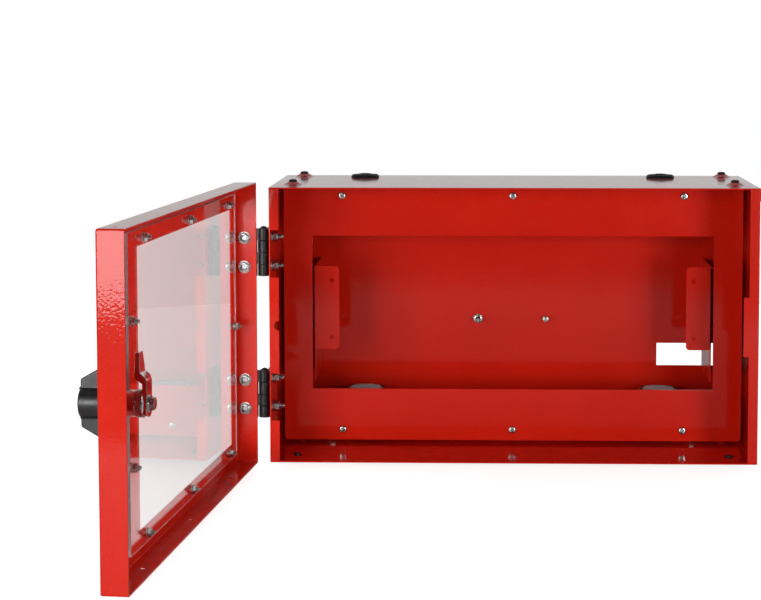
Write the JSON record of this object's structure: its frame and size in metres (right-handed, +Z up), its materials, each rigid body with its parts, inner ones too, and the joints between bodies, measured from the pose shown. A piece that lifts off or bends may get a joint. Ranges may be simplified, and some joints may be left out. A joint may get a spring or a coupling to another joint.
{
  "type": "fire alarm control panel enclosure",
  "caption": "Red sheet-steel wall enclosure for a fire alarm control panel, with a recessed bezel, equipment brackets and a side-hung glazed door with a quarter-turn wing-knob lock.",
  "frame": {"origin": "centre of the cabinet's back face, on the wall", "axes": "+Z up, +X to the right as seen from the front, the front faces -Y"},
  "size_m": [0.6057, 0.6848, 0.2981],
  "materials": {
    "red_paint": "glossy powder coat with fine orange peel",
    "zinc_steel": "bright zinc plate",
    "chromed_steel": "bright nickel-chrome",
    "black_coated_steel": "satin black powder coat",
    "black_plastic": "satin moulded polyamide",
    "grey_plastic": "matt moulded polyamide",
    "black_rubber": "matt",
    "clear_pane": "clear polycarbonate sheet"
  },
  "bodies": {
    "cabinet": {"cabinet_wrap": "red_paint", "left_side_wall": "red_paint", "right_side_wall": "red_paint", "front_bezel": "red_paint", "bezel_tabs": "red_paint", "bezel_spacers": "zinc_steel", "bezel_screws": "zinc_steel", "left_equipment_bracket": "red_paint", "right_equipment_bracket": "red_paint", "bracket_studs": "zinc_steel", "bracket_nuts": "zinc_steel", "earth_stud": "zinc_steel", "earth_washer": "zinc_steel", "earth_nut": "zinc_steel", "standoff_stud": "zinc_steel", "top_grommets": "black_rubber", "corner_plugs": "black_rubber", "floor_gland_bodies": "black_plastic", "floor_gland_nuts": "black_plastic", "floor_gland_plugs": "grey_plastic", "floor_gland_locknuts": "black_plastic", "upper_hinge_box_leaf": "black_coated_steel", "lower_hinge_box_leaf": "black_coated_steel", "upper_hinge_pin": "black_coated_steel", "lower_hinge_pin": "black_coated_steel", "box_hinge_screws": "zinc_steel", "box_hinge_washers": "zinc_steel", "box_hinge_nuts": "zinc_steel"},
    "door": {"door_tray": "red_paint", "window_pane": "clear_pane", "window_studs": "zinc_steel", "window_washers": "zinc_steel", "window_nuts": "zinc_steel", "upper_hinge_door_leaf": "black_coated_steel", "lower_hinge_door_leaf": "black_coated_steel", "door_hinge_screws": "zinc_steel", "door_hinge_washers": "zinc_steel", "door_hinge_nuts": "zinc_steel", "lock_housing": "chromed_steel", "lock_seal": "black_rubber", "lock_ring_nut": "zinc_steel"},
    "lock_rotor": {"wing_knob": "black_plastic", "lock_spindle": "zinc_steel", "lock_cam": "chromed_steel", "cam_washer": "zinc_steel", "cam_bolt": "zinc_steel"}
  },
  "joints": [
    {"name": "door_hinge", "type": "hinge", "parent": "cabinet", "child": "door", "pos_m": [-0.2567, -0.1764, 0], "axis": [0, 0, 1], "range_deg": [-85.2, 94.8]},
    {"name": "lock_turn", "type": "hinge", "parent": "door", "child": "lock_rotor", "pos_m": [-0.3088, -0.63435, 0.001], "axis": [0.9965, -0.0837, 0], "range_deg": [0, 90]}
  ]
}
